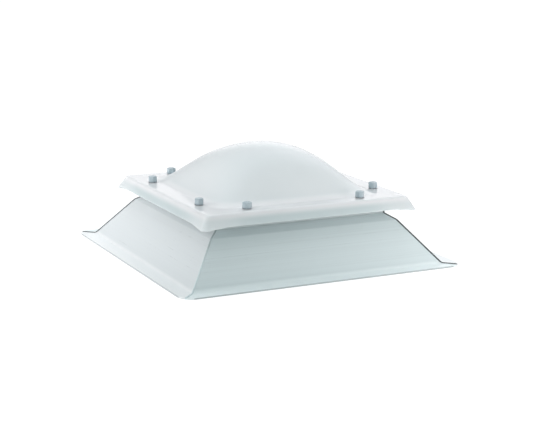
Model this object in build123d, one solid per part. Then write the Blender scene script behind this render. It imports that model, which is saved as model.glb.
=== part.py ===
from build123d import *
import math
import os

# Fixed dome skylight on a sloping upstand, square in plan.
# Millimetres, +Z up. The origin is the centre of the underside of the foot
# flange, on the roof plane. The front is the -Y side and the left the -X side.

os.makedirs("parts", exist_ok=True)

# ---- foot flange and upstand section (half widths measured from the centre) ----
flange_half = 350.0        # outer edge of the foot flange
flange_t = 3.0             # flange thickness at its edge
flange_corner_r = 36.0     # plan radius of the flange's corners
bend_low_half = 313.5      # where the flange turns up into the sloping wall
bend_high_half = 236.0     # where the wall turns in to the shoulder
bend_high_z = 97.6
shoulder_rise = 0.63       # rise over run of the shoulder
neck_half = 214.0          # outer face of the neck above the shoulder
inner_base_half = 300.0    # clear opening at the roof, 600 x 600
inner_knee_half = 224.0    # where the inside face turns in under the shoulder
reveal_half = 200.0        # daylight opening at the top, 400 x 400
seat_z = 126.0             # top of the neck
bend_low_r = 10.0
bend_high_r = 7.0
neck_r = 3.0
edge_r = 1.0

# ---- corner joints of the four mitred upstand sides ----
seam_t = 3.5               # thickness of the filled joint
seam_proud = 1.4           # how far the bead stands out of the faces

# ---- seals and head frame ----
seal_t = 3.0
lower_seal_in, lower_seal_out = 203.0, 211.0
upper_seal_in, upper_seal_out = 212.0, 238.0
frame_in, frame_out = 200.0, 248.0
frame_h = 20.0
frame_leg_t = 4.0          # drip leg under the frame's outer edge
frame_leg_h = 3.0

# ---- blown acrylic dome: rim and skirt in one sheet ----
sheet_t = 4.0
rim_half = 254.0           # sharp edge of the flat rim
rim_z = seat_z + seal_t + frame_h + seal_t + sheet_t      # 156
lip_half = 271.2           # outer face of the skirt at its corner tips
lip_top_z = 124.8
lip_bottom_z = 124.0
skirt_side_z = 129.0       # lower edge along the sides; the corners hang lower
tip_run = 205.0            # where the edge starts to fall towards a corner
tip_fall = 6.0 / 63.6      # and its fall from there
rim_edge_r = 10.0
corner_r_top = 12.0        # plan radius of the skirt's corners at the rim
corner_r_lip = 13.0        # and at the lower edge
blow_half = 213.0         # foot of the blown part
blow_rise = 103.5          # rise of the blown part over the rim
# Section of the blown part, (1 - u^2)^2 (1 + bell_a u^2 + bell_b u^4) with
# u from -1 to 1 across the blown part. The dome is the product of two of them.
bell_a = 1.2175
bell_b = 1.4925

# ---- fixings ----
fix_far, fix_near = 224.0, 143.0     # two fixings on each side of the rim
shank_d = 5.5
pilot_d = 5.6
head_d, head_h = 11.0, 4.0
clear_d = 9.0              # hole in the sheet, larger than the shank
washer_d, washer_t = 21.0, 1.5
cap_af, cap_h = 19.0, 14.0
cap_bore_d, cap_bore_h = 13.0, 6.0
shank_end_z = 133.0
cap_turn = [12, 41, 5, 27, 33, 50, 19, 8]   # how each cap happens to be turned


def save(shape, name):
    shape.label = name
    export_step(shape, os.path.join("parts", name + ".step"))


def prism(points, z0, z1):
    """Upright prism over a plan polygon."""
    face = make_face(Polyline(*[(x, y, z0) for x, y in points], close=True))
    return extrude(face, amount=z1 - z0, dir=(0, 0, 1))


def section(points, rounds):
    """Face in the XZ plane with the listed corners rounded: {index: radius}."""
    face = make_face(Polyline(*[(x, 0, z) for x, z in points], close=True))
    for i, r in rounds.items():
        p = Vector(points[i][0], 0, points[i][1])
        v = min(face.vertices(), key=lambda q: (Vector(q.X, q.Y, q.Z) - p).length)
        face = fillet(v, r)
    return face


def run(face, half):
    """Length of the section on the +X side, square ended."""
    return extrude(face, amount=half, dir=(0, 1, 0), both=True)


def wedge(gap, z0=-5.0, z1=300.0, far=420.0):
    """Plan wedge of the +X side between its two mitre planes, drawn back by gap."""
    g = gap / math.sqrt(2)
    return prism([(g, 0), (far, far - g), (far, -far + g)], z0, z1)


def turned(shape, quarter):
    return shape.rotate(Axis.Z, 90 * quarter)


SIDES = {"right": 0, "back": 1, "left": 2, "front": 3}
CORNERS = {"back_right": 0, "back_left": 1, "front_left": 2, "front_right": 3}

# ------------------------------------------------------------- upstand sides
neck_foot_z = bend_high_z + (bend_high_half - neck_half) * shoulder_rise
wall_slope = (bend_high_z - flange_t) / (bend_low_half - bend_high_half)
inner_knee_z = (inner_base_half - inner_knee_half) * wall_slope
reveal_foot_z = inner_knee_z + (inner_knee_half - reveal_half) * shoulder_rise
profile = [
    (flange_half, 0.0),
    (flange_half, flange_t),
    (bend_low_half, flange_t),
    (bend_high_half, bend_high_z),
    (neck_half, neck_foot_z),
    (neck_half, seat_z),
    (reveal_half, seat_z),
    (reveal_half, reveal_foot_z),
    (inner_knee_half, inner_knee_z),
    (inner_base_half, 0.0),
]
rounds = {1: edge_r, 2: bend_low_r, 3: bend_high_r, 4: neck_r,
          5: edge_r, 6: edge_r, 7: 4.0, 8: 5.0}
wall = section(profile, rounds)
plan = extrude(RectangleRounded(2 * flange_half, 2 * flange_half, flange_corner_r), 200)
side = run(wall, flange_half + 10) & wedge(seam_t) & plan
for name, k in SIDES.items():
    save(turned(side, k), "upstand_" + name)

# ------------------------------------------------- filled mitre joints, proud
bead_face = offset(wall, amount=seam_proud)
bead_run = run(bead_face, flange_half + 10) & plan
bead_run = bead_run & prism([(0, -400), (400, -400), (400, 400), (0, 400)], 0, seat_z)
g = seam_t / math.sqrt(2)
half_joint = bead_run & prism([(150, 150 - g), (400, 400 - g), (400, 400), (150, 150)], -5, 300)
other_half = half_joint.mirror(Plane((0, 0, 0), z_dir=(-1, 1, 0)))
joint = half_joint + other_half
for name, k in CORNERS.items():
    save(turned(joint, k), "corner_joint_" + name)

# ------------------------------------------------------------ seals and frame
seal_z = seat_z
frame_z0 = seat_z + seal_t
frame_z1 = frame_z0 + frame_h
mitre = wedge(0.0)


def bar(x0, x1, z0, z1, r=0.0):
    face = section([(x1, z0), (x1, z1), (x0, z1), (x0, z0)],
                   {i: r for i in range(4)} if r else {})
    return run(face, x1 + 5) & mitre


lower_seal = bar(lower_seal_in, lower_seal_out, seal_z, frame_z0)
upper_seal = bar(upper_seal_in, upper_seal_out, frame_z1, frame_z1 + seal_t)
leg_in = frame_out - frame_leg_t
rail_points = [
    (frame_out, frame_z0 - frame_leg_h),
    (frame_out, frame_z1),
    (frame_in, frame_z1),
    (frame_in, frame_z0),
    (leg_in, frame_z0),
    (leg_in, frame_z0 - frame_leg_h),
]
rail = run(section(rail_points, {0: 1.0, 1: 2.0, 2: 2.0, 3: 1.0, 4: 1.5, 5: 1.0}),
           frame_out + 5) & mitre
spots = [(fix_far, fix_near), (fix_far, -fix_near)]
for x, y in spots:
    rail -= Pos(x, y, shank_end_z) * Cylinder(pilot_d / 2, 60, align=(Align.CENTER, Align.CENTER, Align.MIN))
    upper_seal -= Pos(x, y, frame_z1 - 1) * Cylinder(pilot_d / 2 + 0.7, 10, align=(Align.CENTER, Align.CENTER, Align.MIN))
for name, k in SIDES.items():
    save(turned(lower_seal, k), "lower_seal_" + name)
    save(turned(rail, k), "head_frame_" + name)
    save(turned(upper_seal, k), "upper_seal_" + name)

# ----------------------------------------------------------------- the dome
def rounded_tray(half_lip, half_rim, z_bottom, z_mid, z_top, r_lip, r_rim, edge):
    low = Pos(0, 0, z_bottom) * extrude(RectangleRounded(2 * half_lip, 2 * half_lip, r_lip), z_mid - z_bottom)
    high = loft([
        Pos(0, 0, z_mid) * RectangleRounded(2 * half_lip, 2 * half_lip, r_lip),
        Pos(0, 0, z_top) * RectangleRounded(2 * half_rim, 2 * half_rim, r_rim),
    ], ruled=True)
    body = low + high
    top_edges = [e for e in body.edges()
                 if abs(e.center().Z - z_top) < 1e-4]
    return fillet(top_edges, edge)


lean = (lip_half - rim_half) / (rim_z - lip_top_z)
side_step = sheet_t * (math.sqrt(1 + lean * lean) - lean)   # keeps the skirt's thickness
outer = rounded_tray(lip_half, rim_half, lip_bottom_z, lip_top_z, rim_z,
                     corner_r_lip, corner_r_top, rim_edge_r)
inner = rounded_tray(lip_half - sheet_t, rim_half - side_step, lip_bottom_z - 5.0,
                     lip_top_z - 1.2, rim_z - sheet_t,
                     corner_r_lip - sheet_t, corner_r_top - sheet_t, rim_edge_r - sheet_t)
tray = outer - inner
tray -= Pos(0, 0, rim_z) * Box(2 * blow_half, 2 * blow_half, 60)
far = lip_half - 2.6
low_z = skirt_side_z - (far - tip_run) * tip_fall
trim_points = [(-far, low_z - 4), (-far, low_z), (-tip_run, skirt_side_z),
               (tip_run, skirt_side_z), (far, low_z), (far, low_z - 4)]
trim = extrude(make_face(Polyline(*[(235, y, z) for y, z in trim_points], close=True)),
               amount=60, dir=(1, 0, 0))
for k in range(4):
    tray -= turned(trim, k)

# Bezier coefficients, degree 8, of the bell section, from its powers of u.
powers = {0: 1.0, 2: bell_a - 2.0, 4: 1.0 - 2.0 * bell_a + bell_b,
          6: bell_a - 2.0 * bell_b, 8: bell_b}
degree = 8


def bezier_row():
    # The polynomial in u = 2 t - 1 is expanded in t, then raised to control values.
    coef = [0.0] * (degree + 1)
    for n, c in powers.items():
        for k in range(n + 1):
            coef[k] += c * math.comb(n, k) * (2.0 ** k) * ((-1.0) ** (n - k))
    return [sum(math.comb(i, k) / math.comb(degree, k) * coef[k] for k in range(i + 1))
            for i in range(degree + 1)]


row = bezier_row()
row[0] = row[1] = row[-1] = row[-2] = 0.0
steps = [-blow_half + 2 * blow_half * i / degree for i in range(degree + 1)]


def blown(z):
    return Face.make_bezier_surface(
        [[Vector(steps[i], steps[j], z + blow_rise * row[i] * row[j])
          for j in range(degree + 1)] for i in range(degree + 1)])


crown = Solid.extrude(blown(rim_z - sheet_t), Vector(0, 0, sheet_t))
dome = tray + crown
for k in range(4):
    for x, y in spots:
        a = math.radians(90 * k)
        px = x * math.cos(a) - y * math.sin(a)
        py = x * math.sin(a) + y * math.cos(a)
        dome -= Pos(px, py, rim_z) * Cylinder(clear_d / 2, 20)
save(dome, "dome_outer_shell")

# -------------------------------------------------------------- the fixings
def place(shape, k, x, y):
    a = math.radians(90 * k)
    return Pos(x * math.cos(a) - y * math.sin(a), x * math.sin(a) + y * math.cos(a), 0) * shape


low = (Align.CENTER, Align.CENTER, Align.MIN)
washer = Pos(0, 0, rim_z) * (Cylinder(washer_d / 2, washer_t, align=low)
                             - Cylinder(pilot_d / 2 + 0.2, washer_t, align=low))
top_of_washer = rim_z + washer_t
screw = (Pos(0, 0, shank_end_z) * Cylinder(shank_d / 2, top_of_washer - shank_end_z, align=low)
         + Pos(0, 0, top_of_washer) * Cylinder(head_d / 2, head_h, align=low))
screw = chamfer(screw.edges().sort_by(Axis.Z)[0], 1.5)
cap_r = cap_af / math.sqrt(3)
hexagon = extrude(RegularPolygon(cap_r, 6), cap_h)
turning = Cylinder(cap_r, cap_h, align=low)
turning = chamfer(turning.edges().sort_by(Axis.Z)[-1], 1.8)
cap = (hexagon & turning) - Cylinder(cap_bore_d / 2, cap_bore_h, align=low)
cap = Pos(0, 0, top_of_washer) * cap

washers, screws = [], []
order = ["right_back", "right_front", "back_left", "back_right",
         "left_front", "left_back", "front_right", "front_left"]
n = 0
for k in range(4):
    for x, y in spots:
        washers.append(place(washer, k, x, y))
        screws.append(place(screw, k, x, y))
        save(place(cap.rotate(Axis.Z, cap_turn[n]), k, x, y), "cap_" + order[n])
        n += 1
save(Compound(washers), "sealing_washers")
save(Compound(screws), "fixing_screws")

print("dome volume cm3", round(dome.volume / 1000, 1),
      "neck foot z", round(neck_foot_z, 2), "inner knee z", round(inner_knee_z, 2),
      "reveal foot z", round(reveal_foot_z, 2), "rim z", rim_z)
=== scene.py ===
import math

import bmesh
import bpy
from mathutils import Matrix, Vector


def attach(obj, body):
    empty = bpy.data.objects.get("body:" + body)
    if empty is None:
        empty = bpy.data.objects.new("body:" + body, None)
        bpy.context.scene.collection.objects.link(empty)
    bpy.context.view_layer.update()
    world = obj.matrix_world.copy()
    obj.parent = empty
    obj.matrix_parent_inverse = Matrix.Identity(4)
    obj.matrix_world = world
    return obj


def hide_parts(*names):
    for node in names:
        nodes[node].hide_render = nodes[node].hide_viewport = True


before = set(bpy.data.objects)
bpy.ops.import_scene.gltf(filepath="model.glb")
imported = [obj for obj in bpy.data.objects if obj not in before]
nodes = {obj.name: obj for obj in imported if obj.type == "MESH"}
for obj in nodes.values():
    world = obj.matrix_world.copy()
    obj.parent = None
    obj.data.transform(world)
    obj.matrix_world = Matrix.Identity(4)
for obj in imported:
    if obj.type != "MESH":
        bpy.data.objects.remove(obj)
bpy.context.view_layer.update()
scene = bpy.context.scene

# ---------------------------------------------------------------- dimensions
# Metres, in the row frame: the same figures as the CAD sheet, rim and caps.
RIM_HALF, RIM_Z = 0.254, 0.156
TIP_HALF, TIP_Z = 0.2712, 0.124          # the skirt's lower edge at its corner tips
SIDE_HALF, SIDE_Z = 0.2685, 0.129        # and along the sides
TIP_RUN, TIP_END = 0.205, 0.258          # where the edge falls towards a corner
SHEET = 0.004
EDGE_R = 0.010
R_RIM, R_LIP = 0.012, 0.013
BLOW_HALF, BLOW_RISE = 0.213, 0.1035
BELL_A, BELL_B = 1.2175, 1.4925
FIX_FAR, FIX_NEAR = 0.224, 0.143
WASHER_TOP = RIM_Z + 0.0015
CAP_H = 0.014
CAP_APOTHEM = 0.0095
CAP_TURN = [12, 41, 5, 27, 33, 50, 19, 8]
CAP_ORDER = ["right_back", "right_front", "back_left", "back_right",
             "left_front", "left_back", "front_right", "front_left"]


# ------------------------------------------------------------- node material
class Mat:
    """A small helper that builds one node material."""

    def __init__(self, name, slot=None):
        self.m = bpy.data.materials.new(name)
        self.m.use_nodes = True
        self.t = self.m.node_tree
        self.t.nodes.clear()
        self.out = self.add("ShaderNodeOutputMaterial")
        self.x = 0

    def add(self, kind, **props):
        n = self.t.nodes.new(kind)
        for k, v in props.items():
            setattr(n, k, v)
        return n

    def link(self, a, b):
        self.t.links.new(a, b)

    def principled(self, **sockets):
        n = self.add("ShaderNodeBsdfPrincipled")
        for k, v in sockets.items():
            n.inputs[k.replace("_", " ")].default_value = v
        self.link(n.outputs[0], self.out.inputs["Surface"])
        return n

    def coords(self, scale, offset=(0, 0, 0), turn=(0, 0, 0)):
        tc = self.add("ShaderNodeTexCoord")
        mp = self.add("ShaderNodeMapping")
        mp.inputs["Scale"].default_value = scale
        mp.inputs["Location"].default_value = offset
        mp.inputs["Rotation"].default_value = turn
        self.link(tc.outputs["Object"], mp.inputs["Vector"])
        return mp.outputs[0]

    def place(self):
        """The x, y and z of the point on the piece, in metres."""
        tc = self.add("ShaderNodeTexCoord")
        sep = self.add("ShaderNodeSeparateXYZ")
        self.link(tc.outputs["Object"], sep.inputs[0])
        return sep.outputs["X"], sep.outputs["Y"], sep.outputs["Z"]

    def noise(self, vec, scale=1.0, detail=3.0, rough=0.5, distort=0.0):
        n = self.add("ShaderNodeTexNoise")
        n.inputs["Scale"].default_value = scale
        n.inputs["Detail"].default_value = detail
        n.inputs["Roughness"].default_value = rough
        n.inputs["Distortion"].default_value = distort
        self.link(vec, n.inputs["Vector"])
        return n.outputs["Fac"]

    def span(self, fac, lo, hi, a=0.0, b=1.0):
        """fac from a..b mapped to lo..hi."""
        n = self.add("ShaderNodeMapRange")
        n.inputs["From Min"].default_value = a
        n.inputs["From Max"].default_value = b
        n.inputs["To Min"].default_value = lo
        n.inputs["To Max"].default_value = hi
        self.link(fac, n.inputs["Value"])
        return n.outputs["Result"]

    def smooth(self, fac, a, b):
        """0..1 as fac goes from a to b, eased at both ends."""
        n = self.add("ShaderNodeMapRange", interpolation_type="SMOOTHERSTEP")
        n.inputs["From Min"].default_value = a
        n.inputs["From Max"].default_value = b
        self.link(fac, n.inputs["Value"])
        return n.outputs["Result"]

    def math(self, op, a, b):
        n = self.add("ShaderNodeMath", operation=op)
        for i, v in enumerate((a, b)):
            if isinstance(v, (int, float)):
                n.inputs[i].default_value = v
            else:
                self.link(v, n.inputs[i])
        return n.outputs[0]

    def ramp(self, fac, stops):
        n = self.add("ShaderNodeValToRGB")
        els = n.color_ramp.elements
        els[0].position, els[0].color = stops[0][0], (*stops[0][1], 1)
        els[1].position, els[1].color = stops[-1][0], (*stops[-1][1], 1)
        for pos, col in stops[1:-1]:
            e = els.new(pos)
            e.color = (*col, 1)
        self.link(fac, n.inputs["Fac"])
        return n.outputs["Color"]

    def mix(self, fac, a, b, mode="MIX"):
        n = self.add("ShaderNodeMix", data_type="RGBA", blend_type=mode)
        if isinstance(fac, (int, float)):
            n.inputs["Factor"].default_value = fac
        else:
            self.link(fac, n.inputs["Factor"])
        for sock, v in ((n.inputs[6], a), (n.inputs[7], b)):
            if isinstance(v, tuple):
                sock.default_value = (*v, 1)
            else:
                self.link(v, sock)
        return n.outputs[2]

    def bump(self, height, distance, strength=1.0, normal=None):
        n = self.add("ShaderNodeBump")
        n.inputs["Strength"].default_value = strength
        n.inputs["Distance"].default_value = distance
        self.link(height, n.inputs["Height"])
        if normal is not None:
            self.link(normal, n.inputs["Normal"])
        return n.outputs[0]


def pvc(name, along, tint, seed, streak=1.0, edge_shade=None):
    """Extruded rigid PVC: satin, with fine die lines that run along one axis.
    With its last argument, the piece is a side of the upstand: its foot flange is
    painted paler as painted light, its sawn outer edge is darkened by that factor as
    painted shade, and painted shade darkens the crease at the foot of the neck."""
    m = Mat(name)
    p = m.principled(IOR=1.52)
    p.inputs["Specular IOR Level"].default_value = 0.5
    fine = (1.1, 330.0, 330.0) if along == "x" else (330.0, 1.1, 330.0)
    broad = (0.5, 74.0, 74.0) if along == "x" else (74.0, 0.5, 74.0)
    lines = m.noise(m.coords(fine, (seed, seed * 2, 0)), 1.0, 4.0, 0.62)
    bands = m.noise(m.coords(broad, (seed * 3, 0, seed)), 1.0, 2.0, 0.5)
    cloud = m.noise(m.coords((3.1, 3.1, 3.1), (0, seed, 0)), 1.0, 3.0, 0.55)
    grain = m.noise(m.coords((900, 900, 900)), 1.0, 2.0, 0.6)
    scuff = m.noise(m.coords((26.0, 26.0, 26.0), (seed, 0, 4.0), (0.4, 0.2, 0.7)), 1.0, 6.0, 0.7, 0.6)
    both = m.math("ADD", m.math("MULTIPLY", lines, 0.62), m.math("MULTIPLY", bands, 0.38))
    d = 0.055 * streak
    dark = tuple(c * (1 - d) for c in tint)
    lite = tuple(min(1.0, c * (1 + d * 0.8)) for c in tint)
    base = m.ramp(both, [(0.30, dark), (0.50, tint), (0.70, lite)])
    base = m.mix(m.span(cloud, 0.0, 0.10, 0.35, 0.75), base, tuple(c * f for c, f in zip(tint, (0.95, 0.975, 0.98))))
    base = m.mix(m.span(scuff, 0.0, 0.16, 0.60, 0.82), base, tuple(c * 0.93 for c in tint))
    if edge_shade is not None:
        x, y, z = m.place()
        out = m.math("MAXIMUM", m.math("ABSOLUTE", x, 0.0), m.math("ABSOLUTE", y, 0.0))
        # Painted light: a band on top of the foot flange is painted paler, standing in for the light it catches.
        lit_flange_strip = m.math("MULTIPLY", m.smooth(z, 0.0110, 0.0032), m.smooth(z, 0.0004, 0.0022))
        base = m.mix(lit_flange_strip, base, tuple(min(0.93, c * 1.21) for c in tint))
        # Painted shade: the flange's thin outer edge is darkened by the given factor, standing in for the shadow along
        # its foot.
        base = m.mix(m.smooth(out, 0.3480, 0.3493), base, tuple(c * edge_shade for c in tint))
        # Painted shade: the band just under the skirt, where the shoulder meets the neck, is darkened, standing in for
        # the skirt's shadow in the crease.
        base = m.mix(m.smooth(z, 0.1095, 0.1118), base, tuple(c * 0.74 for c in tint))
    m.link(base, p.inputs["Base Color"])
    rough = m.math("ADD", m.span(lines, 0.26, 0.38, 0.3, 0.7), m.span(scuff, -0.02, 0.07, 0.3, 0.8))
    m.link(rough, p.inputs["Roughness"])
    h = m.math("ADD", m.math("MULTIPLY", both, 0.9), m.math("MULTIPLY", grain, 0.1))
    m.link(m.bump(h, 0.00022, 0.55 * streak), p.inputs["Normal"])
    return m.m


def acrylic():
    """Opal acrylic sheet, blown: glossy, faintly cloudy, with a slow waviness."""
    m = Mat("opal_acrylic")
    p = m.principled(IOR=1.49)
    p.inputs["Specular IOR Level"].default_value = 0.5
    cloud = m.noise(m.coords((5.0, 5.0, 6.5)), 1.0, 4.0, 0.5, 0.3)
    dust = m.noise(m.coords((420, 420, 420)), 1.0, 2.0, 0.6)
    wave = m.noise(m.coords((9.0, 9.0, 9.0), (2.0, 1.0, 0)), 1.0, 1.5, 0.4)
    wipe = m.noise(m.coords((14.0, 40.0, 22.0), (0, 3.0, 1.0), (0, 0.3, 0.6)), 1.0, 5.0, 0.65, 0.8)
    base = m.ramp(cloud, [(0.30, (0.742, 0.788, 0.798)), (0.52, (0.759, 0.804, 0.812)), (0.72, (0.772, 0.815, 0.821))])
    base = m.mix(m.span(wipe, 0.0, 0.05, 0.52, 0.80), base, (0.782, 0.82, 0.825))
    # The sheet lets some light through, and that light is painted in: the band where it lies on the pale frame
    # is painted whiter as painted light, and the skirt greyer as painted shade, less so towards the corner tips; the
    # crown over the hollow dome keeps its plain, greyer tone.
    x, y, z = m.place()
    rim_painted_light = m.smooth(z, 0.168, 0.1565)
    near = m.math("MINIMUM", m.math("ABSOLUTE", x, 0.0), m.math("ABSOLUTE", y, 0.0))
    shade_eased_at_tips = m.span(m.smooth(near, 0.110, 0.262), 1.0, 0.55)
    skirt_painted_shade = m.math("MULTIPLY", m.smooth(z, 0.1545, 0.138), shade_eased_at_tips)
    base = m.mix(rim_painted_light, base, (0.885, 0.905, 0.912))
    base = m.mix(skirt_painted_shade, base, (0.600, 0.680, 0.686))
    m.link(base, p.inputs["Base Color"])
    m.link(m.math("ADD", m.span(wipe, 0.07, 0.13, 0.35, 0.75), m.span(dust, -0.01, 0.02, 0.3, 0.7)), p.inputs["Roughness"])
    m.link(m.bump(wave, 0.0011, 0.25), p.inputs["Normal"])
    p.inputs["Subsurface Weight"].default_value = 0.6
    p.inputs["Subsurface Radius"].default_value = (1.0, 1.0, 1.0)
    p.inputs["Subsurface Scale"].default_value = 0.012
    return m.m


def filler(name, tint, foot=1.0):
    """Grey sealant in the mitre joints, a different tone at each corner as painted light and shade; foot paints the
    lower part lighter as painted light.
    """
    m = Mat(name)
    p = m.principled(IOR=1.45)
    lump = m.noise(m.coords((130, 130, 130)), 1.0, 3.0, 0.55)
    tone = m.noise(m.coords((18, 18, 30)), 1.0, 4.0, 0.6)
    base = m.ramp(tone, [(0.3, tuple(c * 0.72 for c in tint)), (0.5, tint), (0.72, tuple(c * 1.4 for c in tint))])
    # Painted light: the lower part of the joint is painted lighter than its top under the skirt.
    if foot != 1.0:
        base = m.mix(m.smooth(m.place()[2], 0.105, 0.045), base, tuple(c * foot for c in tint))
    m.link(base, p.inputs["Base Color"])
    m.link(m.span(lump, 0.34, 0.55, 0.3, 0.7), p.inputs["Roughness"])
    m.link(m.bump(lump, 0.0004, 0.6), p.inputs["Normal"])
    return m.m


def rubber():
    m = Mat("black_rubber")
    p = m.principled(IOR=1.5)
    fine = m.noise(m.coords((700, 700, 700)), 1.0, 3.0, 0.6)
    tone = m.noise(m.coords((40, 40, 40)), 1.0, 3.0, 0.5)
    m.link(m.ramp(tone, [(0.3, (0.018, 0.019, 0.021)), (0.7, (0.034, 0.036, 0.039))]), p.inputs["Base Color"])
    m.link(m.span(fine, 0.60, 0.82, 0.3, 0.7), p.inputs["Roughness"])
    m.link(m.bump(fine, 0.00015, 0.7), p.inputs["Normal"])
    return m.m


def steel(name, tint, r0, r1):
    m = Mat(name)
    p = m.principled(Metallic=1.0)
    spun = m.noise(m.coords((260, 260, 1400)), 1.0, 4.0, 0.6)
    tone = m.noise(m.coords((60, 60, 60)), 1.0, 3.0, 0.5)
    m.link(m.ramp(tone, [(0.3, tuple(c * 0.86 for c in tint)), (0.7, tint)]), p.inputs["Base Color"])
    m.link(m.span(spun, r0, r1, 0.3, 0.7), p.inputs["Roughness"])
    m.link(m.bump(spun, 0.00005, 0.5), p.inputs["Normal"])
    return m.m


def cap_plastic():
    """Moulded blue-grey cap: fairly glossy, a little paler where it is worn."""
    m = Mat("cap_moulded")
    p = m.principled(IOR=1.5)
    tone = m.noise(m.coords((85, 85, 85)), 1.0, 3.0, 0.5)
    fine = m.noise(m.coords((900, 900, 500)), 1.0, 2.0, 0.6)
    base = m.ramp(tone, [(0.3, (0.42, 0.51, 0.555)), (0.5, (0.50, 0.585, 0.625)), (0.75, (0.57, 0.65, 0.68))])
    m.link(base, p.inputs["Base Color"])
    m.link(m.span(fine, 0.16, 0.30, 0.3, 0.7), p.inputs["Roughness"])
    m.link(m.bump(fine, 0.00006, 0.5), p.inputs["Normal"])
    return m.m


MATS = {
    # One PVC in two copies: the front and back are tinted darker and greener as painted shade, the left and right
    # paler as painted light; the last figure darkens the flange edge as painted shade.
    "pvc_x": pvc("pvc_die_lines_x_shaded", "x", (0.697, 0.785, 0.790), 3.0, 0.8, 0.64),
    "pvc_y": pvc("pvc_die_lines_y_lit", "y", (0.745, 0.790, 0.797), 7.0, 0.45, 0.75),
    "frame_x": pvc("frame_pvc_x", "x", (0.66, 0.70, 0.71), 11.0, 0.7),
    "frame_y": pvc("frame_pvc_y", "y", (0.66, 0.70, 0.71), 13.0, 0.7),
    "acrylic": acrylic(),
    # Painted light and shade: the front-left joint is pale and lighter at its foot, the other three dark, one sealant
    # in lit and shaded tones.
    "filler_front_left": filler("joint_filler_painted_light", (0.40, 0.46, 0.465), 1.72),
    "filler_front_right": filler("joint_filler_painted_shade", (0.058, 0.068, 0.071)),
    "filler_back_left": filler("joint_filler_grey_painted_shade", (0.13, 0.145, 0.15)),
    "filler_back_right": filler("joint_filler_slate_painted_shade", (0.05, 0.058, 0.061)),
    "rubber": rubber(),
    "washer": steel("washer_steel", (0.62, 0.64, 0.66), 0.28, 0.42),
    "screw": steel("screw_steel", (0.60, 0.61, 0.63), 0.24, 0.36),
    "cap": cap_plastic(),
}


def give(o, mat):
    """Puts one material on an object's own slots and leaves its mesh as it is."""
    if not o.data.materials:
        o.data.materials.append(MATS[mat])
    for s in o.material_slots:
        s.link = "OBJECT"
        s.material = MATS[mat]


ALONG = {"front": "x", "back": "x", "left": "y", "right": "y"}
for side, axis in ALONG.items():
    give(nodes["upstand_" + side], "pvc_" + axis)
    give(nodes["head_frame_" + side], "frame_" + axis)
    give(nodes["lower_seal_" + side], "rubber")
    give(nodes["upper_seal_" + side], "rubber")
for n, o in nodes.items():
    if n.startswith("corner_joint_"):
        give(o, "filler_" + n[len("corner_joint_"):])
give(nodes["fixing_screws"], "screw")


# ------------------------------------------------------------------- meshes
def piece(name, bm, mat, replaced=(), smooth=True, limit=35.0):
    bmesh.ops.recalc_face_normals(bm, faces=bm.faces)
    mesh = bpy.data.meshes.new(name)
    if smooth:
        for f in bm.faces:
            f.smooth = True
        for e in bm.edges:
            if len(e.link_faces) == 2 and e.calc_face_angle(0.0) > math.radians(limit):
                e.smooth = False
    bm.to_mesh(mesh)
    bm.free()
    o = bpy.data.objects.new(name, mesh)
    scene.collection.objects.link(o)
    mesh.materials.append(MATS[mat])
    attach(o, "root")
    if replaced:
        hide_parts(*replaced)
    return o


def bell(u):
    u = min(1.0, abs(u))
    return (1 - u * u) ** 2 * (1 + BELL_A * u * u + BELL_B * u ** 4)


def crown_z(x, y):
    return BLOW_RISE * bell(x / BLOW_HALF) * bell(y / BLOW_HALF)


def rounded_square(half, r, n_side, n_arc):
    """Points round a square with rounded corners, from the middle of the first
    corner's arc start: per side, n_side points along it, then n_arc on the arc."""
    pts = []
    c = half - r
    for k in range(4):
        a0 = math.radians(90 * k)
        ca, sa = math.cos(a0), math.sin(a0)
        local = [(half, -c + 2 * c * i / n_side) for i in range(n_side)]
        for j in range(n_arc + 1):
            t = math.radians(90 * j / n_arc)
            local.append((c + r * math.cos(t), c + r * math.sin(t)))
        pts += [(x * ca - y * sa, x * sa + y * ca) for x, y in local]
    return pts


def arc(cx, cz, r, a0, a1, n):
    """Points on an arc in the (half, z) plane, angles in degrees from +half to +z."""
    return [(cx + r * math.cos(math.radians(a0 + (a1 - a0) * i / n)),
             cz + r * math.sin(math.radians(a0 + (a1 - a0) * i / n))) for i in range(n + 1)]


def fillet_corner(p0, p1, p2, r, n):
    """The corner p1 of a path rounded with radius r."""
    a = Vector((p0[0] - p1[0], p0[1] - p1[1])).normalized()
    b = Vector((p2[0] - p1[0], p2[1] - p1[1])).normalized()
    half_angle = math.acos(max(-1, min(1, a.dot(b)))) / 2
    t = r / math.tan(half_angle)
    centre = Vector(p1) + (a + b).normalized() * (r / math.sin(half_angle))
    s, e = Vector(p1) + a * t - centre, Vector(p1) + b * t - centre
    turn = s.angle_signed(e)
    out = []
    for i in range(n + 1):
        q = s.copy()
        q.rotate(Matrix.Rotation(-turn * i / n, 2))
        out.append(tuple(centre + q))
    return out


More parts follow.
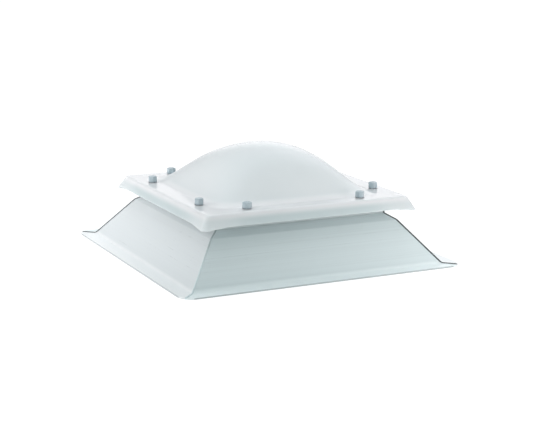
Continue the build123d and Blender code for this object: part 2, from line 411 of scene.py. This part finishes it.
def dome_sheet():
    N, ARC = 120, 12
    bm = bmesh.new()
    g_half = 0.2165

    def grid(z):
        rows = []
        for j in range(N + 1):
            y = -g_half + 2 * g_half * j / N
            rows.append([bm.verts.new((x, y, z + crown_z(x, y)))
                         for x in (-g_half + 2 * g_half * i / N for i in range(N + 1))])
        for j in range(N):
            for i in range(N):
                bm.faces.new((rows[j][i], rows[j][i + 1], rows[j + 1][i + 1], rows[j + 1][i]))
        # Its edge as a loop: up the right side, along the back, down the left, back along the front.
        loop = [rows[j][N] for j in range(N)] + [rows[N][i] for i in range(N, 0, -1)] \
            + [rows[j][0] for j in range(N, 0, -1)] + [rows[0][i] for i in range(N)]
        return loop

    # Outer path, from the rim out and down to the skirt's lower edge, and the inner
    # path back up and in under the rim. The skirt is longer at its corners, so each
    # path is made for the middle of a side and for a corner's tip.
    lean = (TIP_HALF - RIM_HALF) / (RIM_Z - TIP_Z)
    step = SHEET * (math.sqrt(1 + lean * lean) - lean)
    ri = RIM_HALF - step

    def paths(half, z):
        inside = half - SHEET * 0.99
        outer = [(0.232, RIM_Z), (0.242, RIM_Z)]
        outer += fillet_corner((0.23, RIM_Z), (RIM_HALF, RIM_Z), (half, z), EDGE_R, 16)
        a = outer[-1]
        outer += [(a[0] + (half - a[0]) * f, a[1] + (z - a[1]) * f) for f in (0.25, 0.5, 0.75)]
        outer += fillet_corner((RIM_HALF, RIM_Z), (half, z), (inside, z), 0.0010, 4)
        inner = fillet_corner((half, z), (inside, z), (ri, RIM_Z - SHEET), 0.0008, 4)
        inner += fillet_corner((inside, z), (ri, RIM_Z - SHEET), (0.23, RIM_Z - SHEET), EDGE_R - SHEET, 9)
        inner += [(0.242, RIM_Z - SHEET), (0.232, RIM_Z - SHEET)]
        return outer, inner

    def plan_r(h, inside):
        d = SHEET if inside else 0.0
        rim = ri if inside else RIM_HALF
        r0, r1 = R_RIM - d, R_LIP - d
        if h >= rim:
            return r0 + (r1 - r0) * (h - rim) / (TIP_HALF - RIM_HALF)
        return max(0.0016, r0 - (rim - h))

    def ring(side, tip, inside):
        """One ring, from (half, z) at mid side to (half, z) at the corner tips."""
        (h0, z0), (h1, z1) = side, tip
        a = rounded_square(h0, plan_r(h0, inside), N, ARC)
        b = rounded_square(h1, plan_r(h1, inside), N, ARC)
        out = []
        for (xa, ya), (xb, yb) in zip(a, b):
            run = min(abs(xa), abs(ya))
            g = max(0.0, min(1.0, (run - TIP_RUN) / (TIP_END - TIP_RUN)))
            out.append(bm.verts.new((xa + (xb - xa) * g, ya + (yb - ya) * g, z0 + (z1 - z0) * g)))
        return out

    def join_grid(loop, rg):
        """Joins the grid's square edge to the first ring, with a fan at each corner."""
        per = N + ARC + 1
        n_loop = len(loop)
        for k in range(4):
            for i in range(N):
                a0, a1 = loop[(k * N + i) % n_loop], loop[(k * N + i + 1) % n_loop]
                b0, b1 = rg[k * per + i], rg[k * per + i + 1]
                bm.faces.new((a0, b0, b1, a1))
            corner = loop[((k + 1) * N) % n_loop]
            for j in range(ARC):
                bm.faces.new((corner, rg[k * per + N + j], rg[k * per + N + j + 1]))
            bm.faces.new((corner, rg[k * per + N + ARC], rg[((k + 1) * per) % (4 * per)]))

    def join(r0, r1):
        n = len(r0)
        for i in range(n):
            j = (i + 1) % n
            bm.faces.new((r0[i], r1[i], r1[j], r0[j]))

    top_loop = grid(RIM_Z)
    (side_out, side_in), (tip_out, tip_in) = paths(SIDE_HALF, SIDE_Z), paths(TIP_HALF, TIP_Z)
    rings = [ring(p, q, False) for p, q in zip(side_out, tip_out)]
    rings += [ring(p, q, True) for p, q in zip(side_in, tip_in)]
    join_grid(top_loop, rings[0])
    for r0, r1 in zip(rings, rings[1:]):
        join(r0, r1)
    low_loop = grid(RIM_Z - SHEET)
    join_grid(low_loop, rings[-1])
    # Rounded squares meet themselves where a side starts: those pairs of points are one.
    bmesh.ops.remove_doubles(bm, verts=bm.verts, dist=1e-6)
    return piece("dome_sheet", bm, "acrylic", ("dome_outer_shell",), limit=50.0)


def hexagon(apothem, round_r, n_arc):
    """A hexagon with rounded corners, as a loop of points."""
    pts = []
    inner_a = apothem - round_r
    for k in range(6):
        mid = math.radians(60 * k + 30)
        cx = inner_a / math.cos(math.radians(30)) * math.cos(mid)
        cy = inner_a / math.cos(math.radians(30)) * math.sin(mid)
        for j in range(n_arc + 1):
            t = math.radians(60 * k + 60 * j / n_arc)
            pts.append((cx + round_r * math.cos(t), cy + round_r * math.sin(t)))
    return pts


def circle(r, n):
    return [(r * math.cos(2 * math.pi * i / n), r * math.sin(2 * math.pi * i / n)) for i in range(n)]


def stack(bm, loops, close_first=True, close_last=True, at=(0, 0), turn=0.0):
    """Joins loops of points, each (points, z), into one skin."""
    ca, sa = math.cos(turn), math.sin(turn)
    made = [[bm.verts.new((at[0] + x * ca - y * sa, at[1] + x * sa + y * ca, z)) for x, y in pts]
            for pts, z in loops]
    for a, b in zip(made, made[1:]):
        n = len(a)
        for i in range(n):
            bm.faces.new((a[i], a[(i + 1) % n], b[(i + 1) % n], b[i]))
    if close_first:
        bm.faces.new(list(reversed(made[0])))
    if close_last:
        bm.faces.new(made[-1])
    return made


def cap(name, at, turn):
    """Hexagonal cap: foot bead, slightly drafted faces, rounded crown and a shallow dish on top."""
    A, ARC = CAP_APOTHEM, 5
    n = 6 * (ARC + 1)
    z0 = WASHER_TOP

    def hexa(scale, r):
        return hexagon(A * scale, r, ARC)

    def disc(r):
        # The same number of points as the hexagon, at the same bearings.
        pts = []
        for x, y in hexagon(A, 0.0012, ARC):
            d = math.hypot(x, y)
            pts.append((x / d * r, y / d * r))
        return pts

    def blend(hex_pts, r_pts, f):
        return [(hx + (rx - hx) * f, hy + (ry - hy) * f) for (hx, hy), (rx, ry) in zip(hex_pts, r_pts)]

    loops = [
        (disc(0.0065), z0 + 0.0060), (disc(0.0065), z0 + 0.0002), (disc(0.0068), z0),
        (disc(0.0100), z0), (disc(0.01045), z0 + 0.0003), (disc(0.01055), z0 + 0.0008),
        (disc(0.01035), z0 + 0.0013),
        (blend(hexa(1.0, 0.0012), disc(0.0101), 0.35), z0 + 0.0017),
        (hexa(1.0, 0.0012), z0 + 0.0021), (hexa(0.996, 0.0012), z0 + 0.0050),
        (hexa(0.990, 0.0012), z0 + 0.0110), (hexa(0.984, 0.0014), z0 + 0.0119),
        (blend(hexa(0.965, 0.0018), disc(0.0093), 0.30), z0 + 0.0127),
        (blend(hexa(0.930, 0.0020), disc(0.0089), 0.55), z0 + 0.0133),
        (disc(0.0083), z0 + 0.0138), (disc(0.0076), z0 + CAP_H),
        (disc(0.0068), z0 + CAP_H), (disc(0.0063), z0 + 0.0137), (disc(0.0050), z0 + 0.01355),
        (disc(0.0014), z0 + 0.01352), (disc(0.0010), z0 + 0.01375), (disc(0.0005), z0 + 0.0138),
    ]
    bm = bmesh.new()
    stack(bm, loops, at=at, turn=math.radians(turn))
    return piece(name, bm, "cap", ("cap_" + name[len("fixing_cap_"):],), limit=42.0)


def spots():
    """The eight fixings, in the order of the CAD: (name, x, y, turn)."""
    out, n = [], 0
    for k in range(4):
        a = math.radians(90 * k)
        for x, y in ((FIX_FAR, FIX_NEAR), (FIX_FAR, -FIX_NEAR)):
            out.append((CAP_ORDER[n], x * math.cos(a) - y * math.sin(a),
                        x * math.sin(a) + y * math.cos(a), CAP_TURN[n]))
            n += 1
    return out


def washers():
    """Dished steel discs, each on a black rubber ring that shows as a thin dark line."""
    N = 48
    steel_bm, rubber_bm = bmesh.new(), bmesh.new()
    for _, x, y, _ in spots():
        z = RIM_Z
        ring_loops = [(circle(0.0030, N), z + 0.00002), (circle(0.0093, N), z + 0.00002),
                      (circle(0.0098, N), z + 0.0003), (circle(0.0096, N), z + 0.00072),
                      (circle(0.0030, N), z + 0.00072)]
        made = stack(rubber_bm, ring_loops, False, False, at=(x, y))
        for i in range(N):
            rubber_bm.faces.new((made[-1][i], made[-1][(i + 1) % N], made[0][(i + 1) % N], made[0][i]))
        disc_loops = [(circle(0.0030, N), z + 0.00075), (circle(0.0099, N), z + 0.00075),
                      (circle(0.0104, N), z + 0.00055), (circle(0.0105, N), z + 0.00075),
                      (circle(0.0104, N), z + 0.00100), (circle(0.0098, N), z + 0.00138),
                      (circle(0.0090, N), z + 0.00149), (circle(0.0030, N), z + 0.00149)]
        made = stack(steel_bm, disc_loops, False, False, at=(x, y))
        for i in range(N):
            steel_bm.faces.new((made[-1][i], made[-1][(i + 1) % N], made[0][(i + 1) % N], made[0][i]))
    d = piece("washer_discs", steel_bm, "washer", ("sealing_washers",))
    r = piece("washer_rubbers", rubber_bm, "rubber")
    return d, r


dome_sheet()
for name, x, y, turn in spots():
    cap("fixing_cap_" + name, (x, y), turn)
washers()


# --------------------------------------------------------------------- stage
def floor():
    bm = bmesh.new()
    rings = [0.0, 0.5, 1.0, 2.0, 4.0, 9.0, 20.0]
    n = 64
    loops = [(circle(r, n), -0.0003) for r in rings[1:]]
    stack(bm, loops, close_first=True, close_last=False)
    bm.normal_update()
    for f in bm.faces:
        if f.normal.z < 0:
            f.normal_flip()
    mesh = bpy.data.meshes.new("studio_floor")
    bm.to_mesh(mesh)
    bm.free()
    o = bpy.data.objects.new("studio_floor", mesh)
    scene.collection.objects.link(o)
    m = Mat("studio_floor_paper")
    p = m.principled(Roughness=0.9)
    p.inputs["Specular IOR Level"].default_value = 0.0
    tone = m.noise(m.coords((2.0, 2.0, 2.0)), 1.0, 3.0, 0.5)
    m.link(m.ramp(tone, [(0.3, (0.355, 0.356, 0.357)), (0.7, (0.362, 0.363, 0.364))]), p.inputs["Base Color"])
    p.inputs["Emission Color"].default_value = (1.0, 1.0, 1.0, 1.0)
    p.inputs["Emission Strength"].default_value = FLOOR_GLOW
    # Open from below, so that the underside can be looked at.
    clear = m.add("ShaderNodeBsdfTransparent")
    facing = m.add("ShaderNodeNewGeometry")
    sw = m.add("ShaderNodeMixShader")
    m.link(facing.outputs["Backfacing"], sw.inputs[0])
    m.link(p.outputs[0], sw.inputs[1])
    m.link(clear.outputs[0], sw.inputs[2])
    m.link(sw.outputs[0], m.out.inputs["Surface"])
    mesh.materials.append(m.m)
    return o


FLOOR_GLOW = 0.8
floor()


def softbox(name, at, aim, size, colour, power):
    d = bpy.data.lights.new(name, "AREA")
    d.shape = "RECTANGLE"
    d.size, d.size_y = size
    d.energy = power
    d.color = colour
    o = bpy.data.objects.new(name, d)
    scene.collection.objects.link(o)
    o.location = at
    o.rotation_euler = (Vector(aim) - Vector(at)).to_track_quat("-Z", "Y").to_euler()
    o.visible_camera = False
    return o


# name: place, aim, size, colour, watts
LIGHTS = {
    "right_front": ((0.58, -0.80, 0.26), (0.25, -0.27, 0.12), (0.40, 0.30), (1.0, 0.917, 0.926), 2.02),
    "left": ((-1.2, 0.5, 0.5), (-0.25, 0.1, 0.08), (0.6, 0.6), (1.0, 0.949, 0.966), 7.0),
}
WORLD_FILL = (0.0, 0.0, 0.0)
LOBES = [(45, 35, 10, (1.37, 1.38, 1.44)), (225, 35, 10, (1.32, 1.45, 1.46)), (270, 35, 10, (0.07, 0.13, 0.13)),
         (0, 62, 10, (0.27, 0.32, 0.34)), (90, 62, 10, (0.54, 0.63, 0.65)), (180, 62, 10, (0.59, 0.57, 0.59)),
         (0, 90, 4, (0.61, 0.61, 0.62)), (64, 10, 24, (1.10, 1.08, 1.09))]

for name, (at, aim, size, colour, power) in LIGHTS.items():
    softbox(name, at, aim, size, colour, power)
# The left light is kept out of glossy reflections, so the glossy dome shows no outline of it.
bpy.data.objects["left"].visible_glossy = False

def studio_world(fill, lobes):
    """A soft studio round the object: an even fill, with broad soft lobes of light.
    A lobe is (bearing from +X, elevation, tightness, colour)."""
    world = bpy.data.worlds.new("studio")
    scene.world = world
    world.use_nodes = True
    t = world.node_tree
    t.nodes.clear()
    out = t.nodes.new("ShaderNodeOutputWorld")
    tc = t.nodes.new("ShaderNodeTexCoord")
    total = None
    for az, el, k, colour in lobes:
        a, e = math.radians(az), math.radians(el)
        dot = t.nodes.new("ShaderNodeVectorMath")
        dot.operation = "DOT_PRODUCT"
        dot.inputs[1].default_value = (math.cos(e) * math.cos(a), math.cos(e) * math.sin(a), math.sin(e))
        t.links.new(tc.outputs["Generated"], dot.inputs[0])
        top = t.nodes.new("ShaderNodeMath")
        top.operation = "MAXIMUM"
        top.inputs[1].default_value = 0.0
        t.links.new(dot.outputs["Value"], top.inputs[0])
        power = t.nodes.new("ShaderNodeMath")
        power.operation = "POWER"
        power.inputs[1].default_value = k
        t.links.new(top.outputs[0], power.inputs[0])
        part = t.nodes.new("ShaderNodeVectorMath")
        part.operation = "SCALE"
        part.inputs[0].default_value = colour
        t.links.new(power.outputs[0], part.inputs["Scale"])
        if total is None:
            total = part.outputs[0]
        else:
            add = t.nodes.new("ShaderNodeVectorMath")
            add.operation = "ADD"
            t.links.new(total, add.inputs[0])
            t.links.new(part.outputs[0], add.inputs[1])
            total = add.outputs[0]
    base = t.nodes.new("ShaderNodeVectorMath")
    base.operation = "ADD"
    base.inputs[1].default_value = fill
    if total is not None:
        t.links.new(total, base.inputs[0])
    else:
        base.inputs[0].default_value = (0, 0, 0)
    lit = t.nodes.new("ShaderNodeBackground")
    t.links.new(base.outputs[0], lit.inputs["Color"])
    seen = t.nodes.new("ShaderNodeBackground")
    seen.inputs["Color"].default_value = (1, 1, 1, 1)
    path = t.nodes.new("ShaderNodeLightPath")
    mix = t.nodes.new("ShaderNodeMixShader")
    t.links.new(path.outputs["Is Camera Ray"], mix.inputs[0])
    t.links.new(lit.outputs[0], mix.inputs[1])
    t.links.new(seen.outputs[0], mix.inputs[2])
    t.links.new(mix.outputs[0], out.inputs["Surface"])
    return world


studio_world(WORLD_FILL, LOBES)

scene.view_settings.view_transform = "Standard"
scene.view_settings.look = "None"
scene.view_settings.exposure = 0.0
scene.view_settings.gamma = 1.0

# -------------------------------------------------------------------- camera
cam_data = bpy.data.cameras.new("photo_camera")
cam_data.sensor_fit = "HORIZONTAL"
cam_data.sensor_width = 36.0
cam_data.lens = 96.744
cam_data.clip_start, cam_data.clip_end = 0.05, 80.0
cam_data.dof.use_dof = False
cam = bpy.data.objects.new("photo_camera", cam_data)
scene.collection.objects.link(cam)
fwd = Vector((0.42385, 0.87924, -0.21746)).normalized()
right = Vector((0.90112, -0.43355, 0.00345))
right = (right - right.dot(fwd) * fwd).normalized()
up = right.cross(fwd).normalized()
cam.matrix_world = Matrix((
    (right.x, up.x, -fwd.x, -1.4525),
    (right.y, up.y, -fwd.y, -3.0399),
    (right.z, up.z, -fwd.z, 0.8332),
    (0, 0, 0, 1),
))
scene.camera = cam
